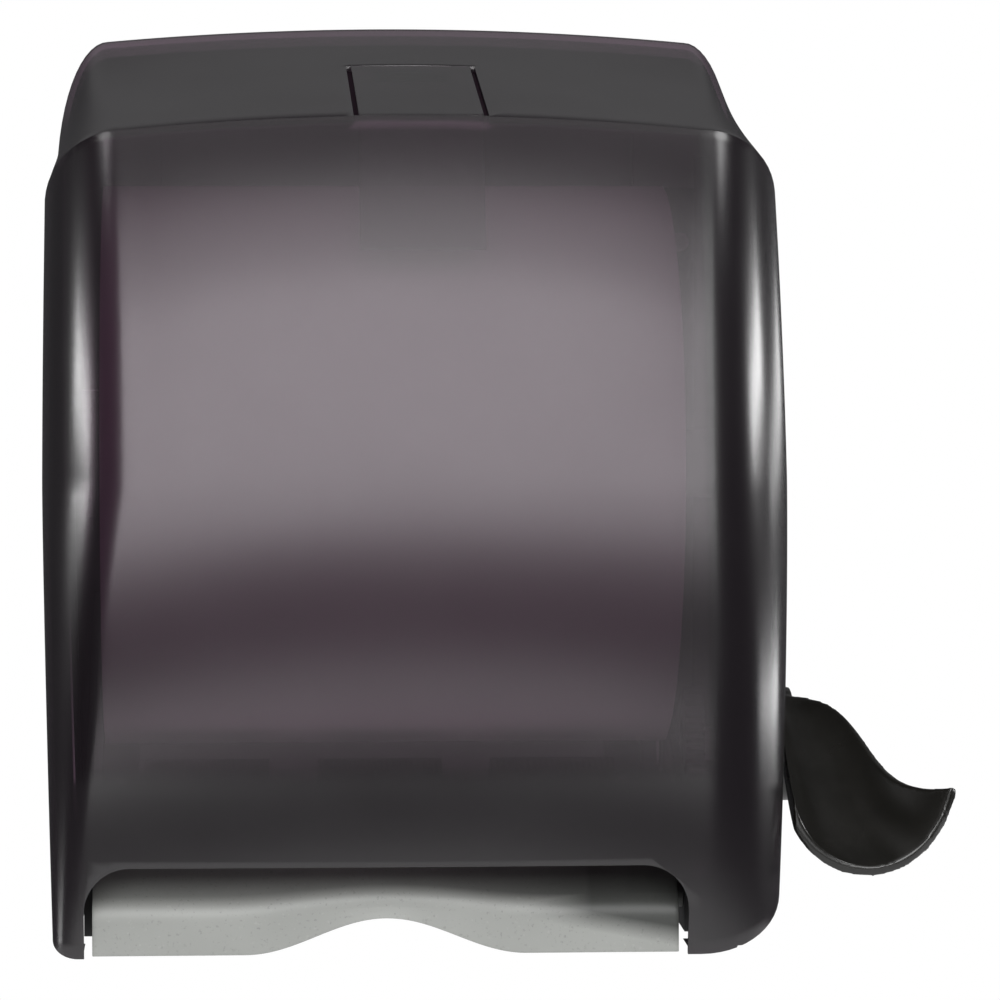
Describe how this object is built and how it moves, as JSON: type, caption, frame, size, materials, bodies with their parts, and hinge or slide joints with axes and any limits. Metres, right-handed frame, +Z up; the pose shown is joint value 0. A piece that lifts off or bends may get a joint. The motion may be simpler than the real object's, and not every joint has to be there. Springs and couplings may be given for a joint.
{
  "type": "lever paper towel dispenser",
  "caption": "Wall dispenser for a roll of paper towels: smoked see-through cover hinged at the bottom, push latch on top, side lever geared to a feed roller, and a chute with a wavy lip",
  "frame": {"origin": "centre of the four wall screw holes, on the wall plane", "axes": "+X to the right as seen from the front, +Y into the wall, +Z up"},
  "size_m": [0.3238, 0.234, 0.327],
  "materials": {
    "smoked_plastic": "smoked see-through moulding, polished outside",
    "black_plastic": "black moulding with a soft gloss",
    "dark_plastic": "dark grey moulding, matt",
    "grey_plastic": "mid grey moulding, matt",
    "speckled_plastic": "light grey moulding with fine speckle",
    "steel": "plain bright steel",
    "rubber": "matt black rubber",
    "paper": "wound towel paper",
    "cardboard": "wound grey-brown board"
  },
  "bodies": {
    "housing": {"back_plate": "grey_plastic", "left_side_frame": "dark_plastic", "right_side_frame": "dark_plastic", "gear_plate": "dark_plastic", "chute": "speckled_plastic", "tear_bar": "steel", "tear_bar_screws": "steel", "paper_guide": "dark_plastic", "frame_screws": "steel", "roll_hub_right": "dark_plastic", "roll_arm_bracket": "grey_plastic", "arm_pivot_pin": "steel", "latch_catch": "grey_plastic", "cover_hinge_pins": "steel", "feed_bushes": "grey_plastic", "pinch_bushes": "grey_plastic", "lever_bushes": "grey_plastic", "lever_return_spring": "steel", "lever_stop": "rubber"},
    "cover": {"cover_shell": "smoked_plastic", "cover_hinge_lugs": "smoked_plastic", "latch_bracket": "smoked_plastic", "latch_pin": "steel", "latch_spring": "steel"},
    "latch": {"latch_button": "smoked_plastic"},
    "lever": {"lever_paddle": "black_plastic", "lever_shaft": "steel", "lever_screw": "steel", "sector_gear": "grey_plastic", "lever_crank": "dark_plastic"},
    "feed_roller": {"feed_shaft": "steel", "feed_sleeves": "rubber", "pinion": "steel"},
    "pinch_roller": {"pinch_shaft": "steel", "pinch_sleeves": "rubber"},
    "left_arm": {"roll_arm_left": "dark_plastic", "roll_hub_left": "dark_plastic"},
    "roll": {"towel_roll": "paper", "roll_core": "cardboard"}
  },
  "joints": [
    {"name": "cover_hinge", "type": "hinge", "parent": "housing", "child": "cover", "pos_m": [0, -0.012, -0.158], "axis": [1, 0, 0], "range_deg": [0, 90]},
    {"name": "latch_press", "type": "hinge", "parent": "cover", "child": "latch", "pos_m": [0.002, -0.078, 0.13598], "axis": [1, 0, 0], "range_deg": [0, 5], "stiffness_Nm_per_rad": 1.2, "springref_deg": -2.86, "deforming": ["latch_spring"]},
    {"name": "lever_press", "type": "hinge", "parent": "housing", "child": "lever", "pos_m": [0, -0.1, -0.108], "axis": [1, 0, 0], "range_deg": [0, 45], "stiffness_Nm_per_rad": 0.6, "springref_deg": -22.92, "deforming": ["lever_return_spring"]},
    {"name": "feed_turn", "type": "hinge", "parent": "housing", "child": "feed_roller", "pos_m": [0, -0.15031, -0.123], "axis": [1, 0, 0], "range_deg": [-180, 0]},
    {"name": "pinch_turn", "type": "hinge", "parent": "housing", "child": "pinch_roller", "pos_m": [0, -0.13032, -0.13699], "axis": [1, 0, 0], "range_deg": [0, 360]},
    {"name": "roll_turn", "type": "hinge", "parent": "housing", "child": "roll", "pos_m": [0, -0.1114, -0.00305], "axis": [1, 0, 0], "range_deg": [-30, 0]},
    {"name": "left_arm_swing", "type": "hinge", "parent": "housing", "child": "left_arm", "pos_m": [-0.11655, -0.012, -0.00305], "axis": [0, 0, -1], "range_deg": [0, 4.5]}
  ],
  "couplings": [
    {"joint": "feed_turn", "follows": "lever_press", "ratio": -4},
    {"joint": "pinch_turn", "follows": "lever_press", "ratio": 8},
    {"joint": "roll_turn", "follows": "lever_press", "ratio": -0.6299}
  ]
}
